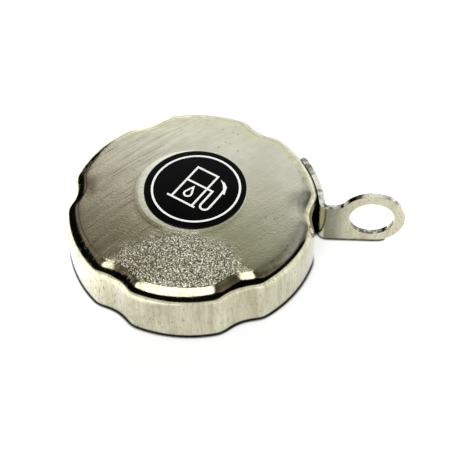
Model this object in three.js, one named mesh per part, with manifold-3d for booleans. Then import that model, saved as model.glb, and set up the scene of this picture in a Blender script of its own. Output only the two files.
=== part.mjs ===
// Hand-turned fuel filler cap for a deck or tank filler with a 60 mm bayonet neck: a pressed,
// six-lobed stainless shell with a padlock eye, a badge plate on its raised centre, and inside it
// a riveted hub with two bayonet claws, a sprung seal that swivels on the hub, and a two-way vent.
// Millimetres, +Z up. The origin is on the cap's axis in the plane of the skirt's lower edge, and
// the eye points along +X.
import * as THREE from "three";
import { mergeVertices } from "three/addons/utils/BufferGeometryUtils.js";
import Module from "manifold-3d";

const wasm = await Module();
wasm.setup();

const rad = THREE.MathUtils.degToRad;
const { lerp, smoothstep } = THREE.MathUtils;

// ---- Driving dimensions ----

const SHEET = 1.0; // gauge of the pressed shell and ceiling plate
const PLAY = 0.12; // gap between a pin or rivet and its hole
const RUN = 0.3; // gap between pieces that slide or turn on each other

// Shell: a circle with six shallow finger valleys, a tight shoulder that eases into a shallow dome.
const CAP_R = 45;
const VALLEYS = 6;
const VALLEY_DEG = -3.4; // where the first valley lies, from +X
const VALLEY_CENTRE_R = 55.4;
const VALLEY_R = 12.4;
const VALLEY_BLEND = 1.03; // softness of the change from valley to lobe
const SKIRT_H = 15.3;
const SHOULDER_R = 5.5;
const SHOULDER_TURN = rad(62); // how far the tight shoulder turns in from the upright skirt
const EASE_R = 15; // the wider curve that follows it
const DOME_SLOPE = rad(11.5); // slope at the dome's edge
const EASE_CENTRE_R = CAP_R - SHOULDER_R + (SHOULDER_R - EASE_R) * Math.cos(SHOULDER_TURN);
const EASE_CENTRE_Z = SKIRT_H + (SHOULDER_R - EASE_R) * Math.sin(SHOULDER_TURN);
const DOME_R = EASE_R + EASE_CENTRE_R / Math.sin(DOME_SLOPE);
const DOME_CENTRE_Z = EASE_CENTRE_Z - (DOME_R - EASE_R) * Math.cos(DOME_SLOPE);
const PRESS_FROM_R = 33; // the valleys fade out inwards between these two radii
const PRESS_FULL_R = 39.5;

// Badge on the shell's raised centre.
const BOSS_R = 19.3; // radius at half height of the step
const BOSS_STEP = 1.4; // width of the step in plan
const BOSS_TOP = 24.7;
const BADGE_R = 18;
const BADGE_X = 1.55; // the badge is stuck on a little off centre
const BADGE_Y = 0.65;
const ADHESIVE_T = 0.15;
const BADGE_T = 0.55;

// Eye strap: a strip hugging one lobe, bent out into an upright ring for a padlock or lanyard.
const STRAP_T = 2;
const STRAP_H = 16.5;
const STRAP_IN_R = CAP_R + RUN;
const STRAP_END_DEG = 35.5;
const STRAP_CORNER_R = 4;
const EYE_FACE_Y = 0.5; // the plate's face towards -Y
const EYE_X = 64;
const EYE_Z = 11.75;
const EYE_OUT_R = 11.75;
const EYE_HOLE_R = 8;
const EYE_NECK_R = 5; // concave corner between strip and ring
const BEND_R = 1.3; // inner radius of the bend

// Hub, from the claw plate up to the ceiling plate.
const CLAW_T = 2;
const CLAW_R = 29; // reaches under the cams of a neck with a 60 mm bore
const CLAW_HALF_W = 12;
const CLAW_DISC_R = 17;
const HUB_R = 10;
const HUB_FLOOR_Z = 4;
const HUB_SEAT_Z = 7; // valve seat inside the hub
const HUB_CHAMBER_R = 7;
const HUB_BORE_R = 8.3;
const HUB_FLANGE_R = 17;
const HUB_FLANGE_Z = 16;
const CEILING_Z = 17.5; // underside of the ceiling plate's flat
const CEILING_FLAT_R = 29;
const CEILING_RISER = 1.5;
const CEILING_RIM_R = 34.5;
const CEILING_GAP = 0.25; // between the ceiling plate's rim and the shell
const CEILING_HOLE_R = 9;
const VENT_HOLES_R = 21;
const HUB_RIVETS = 4;
const HUB_RIVET_CIRCLE = 14;
const CLAW_RIVETS = 3;
const CLAW_RIVET_CIRCLE = 5;
const RIVET_R = 1.5;

// Seal, which slides 3 mm up the hub against the main spring and turns freely on it.
const SEAL_PLATE_Z = 6.5;
const SEAL_PLATE_T = 1.2;
const SEAL_PLATE_R = 37.6;
const GASKET_IN_R = 27;
const GASKET_OUT_R = 36.5;
const GASKET_T = 2;
const STOP_RING_T = 1;
const ORING_WIRE_R = 0.9;
const THRUST_T = 0.8;
const MAIN_SPRING_R = 25;
const MAIN_WIRE = 1.4;
const SPRING_SEAT_T = 0.5;

// Two-way vent valve inside the hub.
const RELIEF_R = 7.9;
const RELIEF_SEAL_T = 0.8;
const RELIEF_DISC_T = 1;
const POPPET_HEAD_R = 3.8;
const POPPET_HEAD_T = 1.2;
const POPPET_STEM_R = 0.9;
const POPPET_TOP = 12.4;
const VACUUM_CLIP_Z = 11.4;
const VALVE_COVER_Z = 14.4;

const SEAL_PLATE_TOP = SEAL_PLATE_Z + SEAL_PLATE_T;
const THRUST_TOP = SEAL_PLATE_TOP + THRUST_T;
const RELIEF_TOP = HUB_SEAT_Z + RELIEF_SEAL_T + RELIEF_DISC_T;

// ---- Solids and helpers ----

function toSolid(geometry) {
  const bare = geometry.index ? geometry.toNonIndexed() : geometry.clone();
  bare.deleteAttribute("normal");
  bare.deleteAttribute("uv");
  const merged = mergeVertices(bare, 1e-4);
  return new wasm.Manifold(
    new wasm.Mesh({
      numProp: 3,
      vertProperties: merged.attributes.position.array,
      triVerts: new Uint32Array(merged.index.array),
    }),
  );
}

function toGeometry(solid) {
  const mesh = solid.getMesh();
  const geometry = new THREE.BufferGeometry();
  geometry.setAttribute("position", new THREE.BufferAttribute(mesh.vertProperties, 3));
  geometry.setIndex(new THREE.BufferAttribute(mesh.triVerts, 1));
  geometry.computeVertexNormals();
  return geometry;
}

// Turns a profile of [radius, z] points about the Z axis. The profile runs anticlockwise, with the
// axis on its left-hand side when it is read from the bottom up.
function revolve(profile, segments = 40) {
  const points = profile.map(([r, z]) => new THREE.Vector2(r, z));
  if (profile.every(([r]) => r > 0)) points.push(points[0].clone());
  return new THREE.LatheGeometry(points, segments).rotateX(Math.PI / 2);
}

function washer(innerR, outerR, z, thickness, segments) {
  return revolve(
    [
      [innerR, z],
      [outerR, z],
      [outerR, z + thickness],
      [innerR, z + thickness],
    ],
    segments,
  );
}

function disc(radius, z, thickness, segments) {
  return revolve(
    [
      [0, z],
      [radius, z],
      [radius, z + thickness],
      [0, z + thickness],
    ],
    segments,
  );
}

// A flat outline in the XY plane, raised from z to z + thickness.
function plate(shape, z, thickness, curveSegments = 8) {
  const settings = { depth: thickness, bevelEnabled: false, curveSegments };
  return new THREE.ExtrudeGeometry(shape, settings).translate(0, 0, z);
}

// Evenly spaced points round a circle.
function roundCircle(count, radius, startDeg = 0) {
  return Array.from({ length: count }, (_, i) => {
    const angle = rad(startDeg) + (2 * Math.PI * i) / count;
    return { x: radius * Math.cos(angle), y: radius * Math.sin(angle) };
  });
}

// Takes a copy of the cutter, moved to each place, out of the geometry.
function cutAt(geometry, cutter, places) {
  let solid = toSolid(geometry);
  for (const { x, y } of places) {
    solid = solid.subtract(toSolid(cutter.clone().translate(x, y, 0)));
  }
  return toGeometry(solid);
}

// A compression spring about the Z axis with closed end coils, between two flat faces.
class SpringCurve extends THREE.Curve {
  constructor(radius, wire, bottom, top, turns) {
    super();
    Object.assign(this, { radius, wire, bottom, top, turns });
  }
  height(turn) {
    const endTurns = 0.75;
    const endRise = endTurns * this.wire * 1.06;
    const low = this.bottom + this.wire / 2;
    const high = this.top - this.wire / 2;
    if (turn < endTurns) return low + (endRise * turn) / endTurns;
    if (turn > this.turns - endTurns) {
      return high - (endRise * (this.turns - turn)) / endTurns;
    }
    const active = (turn - endTurns) / (this.turns - 2 * endTurns);
    return low + endRise + (high - low - 2 * endRise) * active;
  }
  getPoint(t, target = new THREE.Vector3()) {
    const angle = 2 * Math.PI * this.turns * t;
    return target.set(
      this.radius * Math.cos(angle),
      this.radius * Math.sin(angle),
      this.height(this.turns * t),
    );
  }
}

function spring(radius, wire, bottom, top, turns, stepsPerTurn) {
  const section = new THREE.Shape();
  section.absarc(0, 0, wire / 2, 0, 2 * Math.PI);
  return new THREE.ExtrudeGeometry(section, {
    steps: Math.round(turns * stepsPerTurn),
    curveSegments: 3,
    extrudePath: new SpringCurve(radius, wire, bottom, top, turns),
  });
}

// ---- Shell ----

// Radius of the shell's plan at an angle: the circle, softly taken in at each valley.
function planRadius(angle) {
  const pitch = (2 * Math.PI) / VALLEYS;
  const turns = (angle - rad(VALLEY_DEG)) / pitch;
  const off = (turns - Math.round(turns)) * pitch;
  const reach = VALLEY_R ** 2 - (VALLEY_CENTRE_R * Math.sin(off)) ** 2;
  if (reach <= 0) return CAP_R;
  const valley = VALLEY_CENTRE_R * Math.cos(off) - Math.sqrt(reach);
  const k = VALLEY_BLEND;
  return CAP_R - k * Math.log(1 + Math.exp((CAP_R - valley) / k));
}

// Height of the shell's domed surface, or of the surface that lies deeper inside it by an offset.
function domeZ(r, offset = 0) {
  return DOME_CENTRE_Z + Math.sqrt((DOME_R - offset) ** 2 - r ** 2);
}

// Points on an arc of the shell's profile. Each angle is how far the surface has turned in from
// upright.
function profileArc(centreR, centreZ, radius, from, to, steps) {
  return Array.from({ length: steps + 1 }, (_, i) => {
    const turn = lerp(from, to, i / steps);
    return [centreR + radius * Math.cos(turn), centreZ + radius * Math.sin(turn)];
  });
}

// One face of the shell, from the skirt's lower edge to the axis.
function shellFace(offset, shoulderSteps, bossSteps) {
  const domeTurn = Math.PI / 2 - DOME_SLOPE;
  const tightR = SHOULDER_R - offset;
  const easeR = EASE_R - offset;
  const points = [
    [CAP_R - offset, 0],
    ...profileArc(CAP_R - SHOULDER_R, SKIRT_H, tightR, 0, SHOULDER_TURN, shoulderSteps),
    ...profileArc(EASE_CENTRE_R, EASE_CENTRE_Z, easeR, SHOULDER_TURN, domeTurn, 2).slice(1),
  ];
  for (const r of [PRESS_FROM_R, 27]) {
    points.push([r, domeZ(r, offset)]);
  }
  for (let i = 0; i <= bossSteps; i++) {
    const across = Math.cos((Math.PI * i) / bossSteps);
    const r = BOSS_R - offset / 2 + (BOSS_STEP / 2) * across;
    const foot = domeZ(BOSS_R + BOSS_STEP / 2, offset);
    points.push([r, lerp(BOSS_TOP - offset, foot, (1 + across) / 2)]);
  }
  points.push([0, BOSS_TOP - offset]);
  return points;
}

// Presses the finger valleys into the outer part of a revolved shell.
function pressValleys(geometry) {
  const position = geometry.attributes.position;
  for (let i = 0; i < position.count; i++) {
    const x = position.getX(i);
    const y = position.getY(i);
    const r = Math.hypot(x, y);
    const depth = CAP_R - planRadius(Math.atan2(y, x));
    const share = smoothstep(r, PRESS_FROM_R, PRESS_FULL_R);
    const scale = r > 0 ? (r - depth * share) / r : 1;
    position.setXY(i, x * scale, y * scale);
  }
  return geometry;
}

function outerShell() {
  const profile = [...shellFace(0, 4, 4), ...shellFace(SHEET, 3, 2).reverse()];
  profile.push(profile[0]);
  const points = profile.map(([r, z]) => new THREE.Vector2(r, z));
  return pressValleys(new THREE.LatheGeometry(points, 84).rotateX(Math.PI / 2));
}

// ---- Eye strap ----

// Plan of the strip: the arc round the lobe, the bend, and the straight plate along +X.
function strapPlan() {
  const backY = EYE_FACE_Y + STRAP_T;
  const bendY = backY + BEND_R;
  const bendReach = STRAP_IN_R + STRAP_T + BEND_R;
  const bendX = Math.sqrt(bendReach ** 2 - bendY ** 2);
  const bendAngle = Math.atan2(bendY, bendX);
  const end = rad(STRAP_END_DEG);
  const tip = EYE_X + EYE_OUT_R + STRAP_T;
  const shape = new THREE.Shape();
  shape.moveTo(tip, EYE_FACE_Y);
  shape.lineTo(tip, backY);
  shape.absarc(bendX, bendY, BEND_R, -Math.PI / 2, bendAngle - Math.PI, true);
  shape.absarc(0, 0, STRAP_IN_R + STRAP_T, bendAngle, end, false);
  shape.absarc(0, 0, STRAP_IN_R, end, bendAngle, true);
  shape.absarc(bendX, bendY, BEND_R + STRAP_T, bendAngle - Math.PI, -Math.PI / 2, false);
  return shape;
}

// Side view of the strip, X across and Z up: the straight band, the hollow corner and the ring.
function strapSide() {
  const cornerZ = STRAP_H + EYE_NECK_R;
  const reach = EYE_OUT_R + EYE_NECK_R;
  const cornerX = EYE_X - Math.sqrt(reach ** 2 - (cornerZ - EYE_Z) ** 2);
  const meet = Math.atan2(EYE_Z - cornerZ, EYE_X - cornerX);
  const shape = new THREE.Shape();
  shape.moveTo(0, 0);
  shape.lineTo(EYE_X, 0);
  shape.absarc(EYE_X, EYE_Z, EYE_OUT_R, -Math.PI / 2, meet + Math.PI, false);
  shape.absarc(cornerX, cornerZ, EYE_NECK_R, meet, -Math.PI / 2, true);
  shape.lineTo(0, STRAP_H);
  const hole = new THREE.Path();
  hole.absarc(EYE_X, EYE_Z, EYE_HOLE_R, 0, 2 * Math.PI, false);
  shape.holes.push(hole);
  return shape;
}

// View of the strip square on to its welded stretch, which rounds the two corners of its end.
function strapEnd(viewAngle) {
  const top = EYE_Z + EYE_OUT_R + 1;
  const end = (STRAP_IN_R + STRAP_T / 2) * Math.sin(rad(STRAP_END_DEG) - viewAngle);
  const bandStart = -STRAP_IN_R * Math.sin(viewAngle);
  const far = -2 * CAP_R;
  const c = STRAP_CORNER_R;
  const shape = new THREE.Shape();
  shape.moveTo(far, -1);
  shape.lineTo(bandStart, -1);
  shape.lineTo(bandStart, 0);
  shape.absarc(end - c, c, c, -Math.PI / 2, 0, false);
  shape.absarc(end - c, STRAP_H - c, c, 0, Math.PI / 2, false);
  shape.lineTo(bandStart, STRAP_H);
  shape.lineTo(bandStart, top);
  shape.lineTo(far, top);
  return shape;
}

function eyeStrap() {
  const depth = 2 * CAP_R;
  const plan = plate(strapPlan(), -1, EYE_Z + EYE_OUT_R + 3);
  const side = plate(strapSide(), -depth, 2 * depth, 16).rotateX(Math.PI / 2);
  const viewAngle = rad(STRAP_END_DEG / 2);
  const end = plate(strapEnd(viewAngle), 0, depth, 3);
  end.applyMatrix4(
    new THREE.Matrix4().makeBasis(
      new THREE.Vector3(-Math.sin(viewAngle), Math.cos(viewAngle), 0),
      new THREE.Vector3(0, 0, 1),
      new THREE.Vector3(Math.cos(viewAngle), Math.sin(viewAngle), 0),
    ),
  );
  return toGeometry(toSolid(plan).intersect(toSolid(side)).intersect(toSolid(end)));
}

// ---- Hub, claws and ceiling plate ----

const rivetPlaces = roundCircle(CLAW_RIVETS, CLAW_RIVET_CIRCLE, 90);
const ventPlaces = roundCircle(CLAW_RIVETS, CLAW_RIVET_CIRCLE, 30);
const hubRivetPlaces = roundCircle(HUB_RIVETS, HUB_RIVET_CIRCLE, 45);
const floorVent = disc(1.2, -1, HUB_FLOOR_Z + 2, 12);

// A countersunk rivet, flush underneath and staked over the hub's floor. Grow widens it into the
// cutter for its own hole.
function clawRivet(grow = 0) {
  const sinkR = 2.6 + grow;
  const shankR = RIVET_R + grow;
  const sink = 1.1;
  const profile = [
    [0, 0],
    [sinkR, 0],
    [shankR, sink],
    [shankR, HUB_FLOOR_Z],
  ];
  if (grow > 0) return revolve([...profile, [0, HUB_FLOOR_Z]], 12);
  return revolve([...profile, [1.9, HUB_FLOOR_Z], [1.5, HUB_FLOOR_Z + 0.6], [0, HUB_FLOOR_Z + 0.6]], 12);
}

// Two opposed claws on a round middle.
function clawPlate() {
  const tipAngle = Math.asin(CLAW_HALF_W / CLAW_R);
  const rootAngle = Math.asin(CLAW_HALF_W / CLAW_DISC_R);
  const shape = new THREE.Shape();
  for (const side of [0, Math.PI]) {
    shape.absarc(0, 0, CLAW_R, side - tipAngle, side + tipAngle, false);
    shape.absarc(0, 0, CLAW_DISC_R, side + rootAngle, side + Math.PI - rootAngle, false);
  }
  const blank = plate(shape, 0, CLAW_T);
  return cutAt(cutAt(blank, clawRivet(PLAY), rivetPlaces), floorVent, ventPlaces);
}

function hubBody() {
  const grooveR = HUB_R - 0.7;
  const stopTop = SEAL_PLATE_Z + 0.1;
  const stopBottom = SEAL_PLATE_Z - STOP_RING_T - 0.1;
  const circlipZ = VALVE_COVER_Z + 1;
  const turned = revolve(
    [
      [0, CLAW_T],
      [HUB_R, CLAW_T],
      [HUB_R, stopBottom],
      [grooveR, stopBottom],
      [grooveR, stopTop],
      [HUB_R, stopTop],
      [HUB_R, HUB_FLANGE_Z],
      [HUB_FLANGE_R, HUB_FLANGE_Z],
      [HUB_FLANGE_R, CEILING_Z],
      [HUB_BORE_R, CEILING_Z],
      [HUB_BORE_R, circlipZ + 1],
      [HUB_BORE_R + 0.6, circlipZ + 1],
      [HUB_BORE_R + 0.6, circlipZ],
      [HUB_BORE_R, circlipZ],
      [HUB_BORE_R, HUB_SEAT_Z],
      [HUB_CHAMBER_R, HUB_SEAT_Z],
      [HUB_CHAMBER_R, HUB_FLOOR_Z],
      [0, HUB_FLOOR_Z],
    ],
    32,
  );
  const flangeHole = disc(RIVET_R + PLAY, HUB_FLANGE_Z - 1, 3, 12);
  let body = cutAt(turned, clawRivet(PLAY), rivetPlaces);
  body = cutAt(body, floorVent, ventPlaces);
  return cutAt(body, flangeHole, hubRivetPlaces);
}

// Round-headed rivet through the hub's flange and the ceiling plate.
function hubRivet({ x, y }) {
  const headR = 2.7;
  const headH = 1.1;
  const top = CEILING_Z + SHEET;
  const rivet = revolve(
    [
      [0, HUB_FLANGE_Z - headH],
      [headR * 0.6, HUB_FLANGE_Z - headH],
      [headR, HUB_FLANGE_Z],
      [RIVET_R, HUB_FLANGE_Z],
      [RIVET_R, top],
      [headR, top],
      [headR * 0.6, top + headH],
      [0, top + headH],
    ],
    12,
  );
  return rivet.translate(x, y, 0);
}

// Pressed dish whose rim is spot-welded under the dome, with vent holes and rivet holes.
function ceilingPlate() {
  const rimIn = CEILING_FLAT_R + CEILING_RISER;
  const rimTop = (r) => domeZ(r, SHEET) - CEILING_GAP;
  const dish = revolve([
    [CEILING_HOLE_R, CEILING_Z],
    [CEILING_FLAT_R, CEILING_Z],
    [rimIn, rimTop(rimIn) - SHEET],
    [CEILING_RIM_R, rimTop(CEILING_RIM_R) - SHEET],
    [CEILING_RIM_R, rimTop(CEILING_RIM_R)],
    [rimIn, rimTop(rimIn)],
    [CEILING_FLAT_R - 0.6, CEILING_Z + SHEET],
    [CEILING_HOLE_R, CEILING_Z + SHEET],
  ]);
  const rivetHole = disc(RIVET_R + PLAY, CEILING_Z - 1, 3, 12);
  const ventHole = disc(2, CEILING_Z - 1, 3, 16);
  const vented = cutAt(dish, ventHole, roundCircle(4, VENT_HOLES_R));
  return cutAt(vented, rivetHole, hubRivetPlaces);
}

// ---- Seal ----

// A flat ring with an upstanding lip at its inner edge, which keeps the main spring central.
function lippedRing(innerR, outerR, z, thickness, lipZ) {
  const up = lipZ > z;
  const lipR = innerR + thickness;
  const face = up ? z + thickness : z;
  const profile = up
    ? [
        [innerR, z],
        [outerR, z],
        [outerR, face],
        [lipR, face],
        [lipR, lipZ],
        [innerR, lipZ],
      ]
    : [
        [innerR, lipZ],
        [lipR, lipZ],
        [lipR, face],
        [outerR, face],
        [outerR, z + thickness],
        [innerR, z + thickness],
      ];
  return revolve(profile);
}

// Pressed disc with a turned-down rim round the gasket.
function sealPlate() {
  const rimT = 0.8;
  const rimZ = SEAL_PLATE_Z - 1.2;
  return revolve([
    [HUB_R + RUN, SEAL_PLATE_Z],
    [SEAL_PLATE_R - rimT, SEAL_PLATE_Z],
    [SEAL_PLATE_R - rimT, rimZ],
    [SEAL_PLATE_R, rimZ],
    [SEAL_PLATE_R, SEAL_PLATE_TOP - 0.5],
    [SEAL_PLATE_R - 0.5, SEAL_PLATE_TOP],
    [HUB_R + RUN, SEAL_PLATE_TOP],
  ]);
}

function gasketRetainer() {
  const outerR = GASKET_IN_R - 0.2;
  return revolve([
    [outerR - 5, SEAL_PLATE_Z - 0.6],
    [outerR - 0.6, SEAL_PLATE_Z - 0.6],
    [outerR - 0.6, SEAL_PLATE_Z - 1.4],
    [outerR, SEAL_PLATE_Z - 1.4],
    [outerR, SEAL_PLATE_Z],
    [outerR - 5, SEAL_PLATE_Z],
  ]);
}

// Open cup that holds the O-ring down round the hub.
function oringCup() {
  const wallT = 0.8;
  const innerR = HUB_R + 2.4;
  const roofZ = SEAL_PLATE_TOP + 2 * ORING_WIRE_R + 0.3;
  return revolve(
    [
      [innerR, SEAL_PLATE_TOP],
      [innerR + wallT, SEAL_PLATE_TOP],
      [innerR + wallT, roofZ + wallT],
      [HUB_R + RUN, roofZ + wallT],
      [HUB_R + RUN, roofZ],
      [innerR, roofZ],
    ],
    32,
  );
}

function hubOring() {
  const ringR = HUB_R + RUN + 0.05 + ORING_WIRE_R;
  const centreZ = SEAL_PLATE_TOP + ORING_WIRE_R + 0.1;
  return new THREE.TorusGeometry(ringR, ORING_WIRE_R, 8, 32).translate(0, 0, centreZ);
}

// A snap ring with a gap, lying flat.
function snapRing(innerR, outerR, z, thickness) {
  const gap = rad(16);
  const shape = new THREE.Shape();
  shape.absarc(0, 0, outerR, gap, 2 * Math.PI - gap, false);
  shape.absarc(0, 0, innerR, 2 * Math.PI - gap, gap, true);
  return plate(shape, z, thickness, 14);
}

// ---- Vent valve ----

function vacuumPoppet() {
  const headTop = HUB_SEAT_Z;
  return revolve(
    [
      [0, headTop - POPPET_HEAD_T],
      [POPPET_HEAD_R - 0.4, headTop - POPPET_HEAD_T],
      [POPPET_HEAD_R, headTop - POPPET_HEAD_T + 0.4],
      [POPPET_HEAD_R, headTop],
      [POPPET_STEM_R, headTop],
      [POPPET_STEM_R, VACUUM_CLIP_Z],
      [POPPET_STEM_R - 0.3, VACUUM_CLIP_Z],
      [POPPET_STEM_R - 0.3, VACUUM_CLIP_Z + 0.6],
      [POPPET_STEM_R, VACUUM_CLIP_Z + 0.6],
      [POPPET_STEM_R, POPPET_TOP],
      [0, POPPET_TOP],
    ],
    20,
  );
}

// Turned cover that the relief spring pushes against, with a hole for the poppet's stem.
function valveCover() {
  const cover = washer(2, HUB_BORE_R - 0.15, VALVE_COVER_Z, 1, 32);
  const hole = disc(1, VALVE_COVER_Z - 1, 3, 12);
  return cutAt(cover, hole, roundCircle(4, 4.6, 45));
}

// ---- Materials ----

const steel = { color: 0xb4b09f, roughness: 0.34, metalness: 1 };
const innerSteel = { color: 0xa8a79f, roughness: 0.45, metalness: 1 };
const springSteel = { color: 0x8f9091, roughness: 0.35, metalness: 1 };
const brass = { color: 0xb08d4c, roughness: 0.35, metalness: 1 };
const bronze = { color: 0x8f6a41, roughness: 0.8, metalness: 0.8 };
const hubMetal = { color: 0xc2c4c6, roughness: 0.4, metalness: 1 };
const rubber = { color: 0x16171a, roughness: 0.75, metalness: 0 };
const badgeBlack = { color: 0x0d0d0f, roughness: 0.28, metalness: 0 };
const tape = { color: 0x2a2a2c, roughness: 0.8, metalness: 0 };

// ---- Assembly ----

const cap = new THREE.Group();
const sealCarrier = new THREE.Group();
const seal = new THREE.Group();
const vent = new THREE.Group();
sealCarrier.add(seal);
cap.add(sealCarrier, vent);

function add(group, name, geometry, look) {
  const mesh = new THREE.Mesh(geometry, new THREE.MeshStandardMaterial(look));
  mesh.name = name;
  group.add(mesh);
}

const adhesiveTop = BOSS_TOP + ADHESIVE_T;
add(cap, "outer_shell", outerShell(), steel);
const film = disc(BADGE_R - 0.5, BOSS_TOP, ADHESIVE_T, 48).translate(BADGE_X, BADGE_Y, 0);
const badge = disc(BADGE_R, adhesiveTop, BADGE_T, 64).translate(BADGE_X, BADGE_Y, 0);
add(cap, "badge_adhesive", film, tape);
add(cap, "badge_plate", badge, badgeBlack);
add(cap, "eye_strap", eyeStrap(), steel);
add(cap, "ceiling_plate", ceilingPlate(), innerSteel);
add(cap, "hub_body", hubBody(), hubMetal);
add(cap, "claw_plate", clawPlate(), innerSteel);
rivetPlaces.forEach(({ x, y }, i) => {
  add(cap, `claw_rivet_${i + 1}`, clawRivet().translate(x, y, 0), innerSteel);
});
hubRivetPlaces.forEach((place, i) => {
  add(cap, `hub_rivet_${i + 1}`, hubRivet(place), innerSteel);
});
const stopRing = snapRing(HUB_R - 0.5, HUB_R + 2, SEAL_PLATE_Z - STOP_RING_T, STOP_RING_T);
add(cap, "stop_ring", stopRing, springSteel);
const seatZ = CEILING_Z - SPRING_SEAT_T;
const lipR = MAIN_SPRING_R - MAIN_WIRE / 2 - RUN;
const seatRing = lippedRing(lipR - SPRING_SEAT_T, 28.4, seatZ, SPRING_SEAT_T, seatZ - 1.5);
add(cap, "spring_seat", seatRing, innerSteel);
const mainSpring = spring(MAIN_SPRING_R, MAIN_WIRE, THRUST_TOP, seatZ, 2.75, 26);
add(cap, "main_spring", mainSpring, springSteel);

const thrustRing = lippedRing(lipR - THRUST_T, 29.5, SEAL_PLATE_TOP, THRUST_T, THRUST_TOP + 1.3);
add(sealCarrier, "thrust_washer", thrustRing, innerSteel);
add(seal, "seal_plate", sealPlate(), innerSteel);
const gasketZ = SEAL_PLATE_Z - GASKET_T;
add(seal, "gasket", washer(GASKET_IN_R, GASKET_OUT_R, gasketZ, GASKET_T), rubber);
add(seal, "gasket_retainer", gasketRetainer(), innerSteel);
add(seal, "hub_oring", hubOring(), rubber);
add(seal, "oring_cup", oringCup(), innerSteel);

const circlipZ = VALVE_COVER_Z + 1.1;
add(vent, "valve_cover", valveCover(), brass);
add(vent, "valve_circlip", snapRing(6.9, HUB_BORE_R + 0.4, circlipZ, 0.8), springSteel);
add(vent, "relief_seal", washer(2.4, RELIEF_R, HUB_SEAT_Z, RELIEF_SEAL_T, 32), rubber);
const discZ = HUB_SEAT_Z + RELIEF_SEAL_T;
add(vent, "relief_disc", washer(1.8, RELIEF_R, discZ, RELIEF_DISC_T, 32), brass);
add(vent, "relief_spring", spring(6.4, 0.8, RELIEF_TOP, VALVE_COVER_Z, 3.75, 16), springSteel);
add(vent, "vacuum_poppet", vacuumPoppet(), brass);
add(vent, "vacuum_clip", washer(0.75, 3.2, VACUUM_CLIP_Z, 0.6, 20), springSteel);
add(vent, "vacuum_spring", spring(2.3, 0.4, RELIEF_TOP, VACUUM_CLIP_Z, 3.5, 12), springSteel);
add(vent, "vent_filter", disc(10.8, CEILING_Z + SHEET, 1, 36), bronze);

export default cap;
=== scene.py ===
"""Looks of a hand-turned fuel filler cap: pressed steel shell, badge, padlock eye and works.

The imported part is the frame. Lengths here are millimetres until a mesh is made, and the
part frame is +Z up with the padlock eye along +X.
"""
import math

import bmesh
import bpy
from mathutils import Matrix, Vector


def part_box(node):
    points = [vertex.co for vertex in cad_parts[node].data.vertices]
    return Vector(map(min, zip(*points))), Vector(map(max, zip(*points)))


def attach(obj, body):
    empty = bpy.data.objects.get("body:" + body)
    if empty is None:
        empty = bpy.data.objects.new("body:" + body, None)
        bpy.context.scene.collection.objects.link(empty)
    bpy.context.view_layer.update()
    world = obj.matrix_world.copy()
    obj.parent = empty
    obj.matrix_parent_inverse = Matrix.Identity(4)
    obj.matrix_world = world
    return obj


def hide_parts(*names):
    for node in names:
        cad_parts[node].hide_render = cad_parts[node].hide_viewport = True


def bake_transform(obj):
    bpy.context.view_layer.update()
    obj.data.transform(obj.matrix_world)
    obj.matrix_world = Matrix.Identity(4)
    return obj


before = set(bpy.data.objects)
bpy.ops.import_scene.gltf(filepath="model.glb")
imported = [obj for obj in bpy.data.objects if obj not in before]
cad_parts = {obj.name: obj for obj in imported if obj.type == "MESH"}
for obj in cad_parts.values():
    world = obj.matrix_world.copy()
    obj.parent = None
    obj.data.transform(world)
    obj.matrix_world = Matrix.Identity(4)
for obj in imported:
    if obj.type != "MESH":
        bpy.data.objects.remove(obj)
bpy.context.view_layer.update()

MM = 0.001

# ---- Driving dimensions, the same as the part's ----

SHEET = 1.0
PLAY = 0.12
RUN = 0.3

CAP_R = 45
VALLEYS = 6
VALLEY_DEG = -3.4
VALLEY_CENTRE_R = 55.4
VALLEY_R = 12.4
VALLEY_BLEND = 1.03
SKIRT_H = 15.3
SHOULDER_R = 5.5
SHOULDER_TURN = math.radians(62)
EASE_R = 15
DOME_SLOPE = math.radians(11.5)
EASE_CENTRE_R = CAP_R - SHOULDER_R + (SHOULDER_R - EASE_R) * math.cos(SHOULDER_TURN)
EASE_CENTRE_Z = SKIRT_H + (SHOULDER_R - EASE_R) * math.sin(SHOULDER_TURN)
DOME_R = EASE_R + EASE_CENTRE_R / math.sin(DOME_SLOPE)
DOME_CENTRE_Z = EASE_CENTRE_Z - (DOME_R - EASE_R) * math.cos(DOME_SLOPE)
PRESS_FROM_R = 33
PRESS_FULL_R = 39.5
BOSS_R = 19.3
BOSS_STEP = 1.4
BOSS_TOP = 24.7
BADGE_R = 18
BADGE_X = 1.55
BADGE_Y = 0.65
ADHESIVE_T = 0.15

STRAP_T = 2
STRAP_H = 16.5
STRAP_IN_R = CAP_R + RUN
STRAP_END_DEG = 35.5
STRAP_CORNER_R = 4
EYE_FACE_Y = 0.5
EYE_X = 64
EYE_Z = 11.75
EYE_OUT_R = 11.75
EYE_HOLE_R = 8
EYE_NECK_R = 5
BEND_R = 1.3
BEND_Y = EYE_FACE_Y + STRAP_T + BEND_R
BEND_REACH = STRAP_IN_R + STRAP_T + BEND_R
BEND_X = math.sqrt(BEND_REACH**2 - BEND_Y**2)

CLAW_T = 2
CLAW_R = 29
CLAW_HALF_W = 12
CLAW_DISC_R = 17
HUB_R = 10
HUB_FLOOR_Z = 4
HUB_SEAT_Z = 7
HUB_CHAMBER_R = 7
HUB_BORE_R = 8.3
HUB_FLANGE_R = 17
HUB_FLANGE_Z = 16
CEILING_Z = 17.5
CEILING_FLAT_R = 29
CEILING_RISER = 1.5
CEILING_RIM_R = 34.5
CEILING_GAP = 0.25
CEILING_HOLE_R = 9
VENT_HOLES_R = 21
HUB_RIVET_CIRCLE = 14
CLAW_RIVET_CIRCLE = 5
RIVET_R = 1.5

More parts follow.
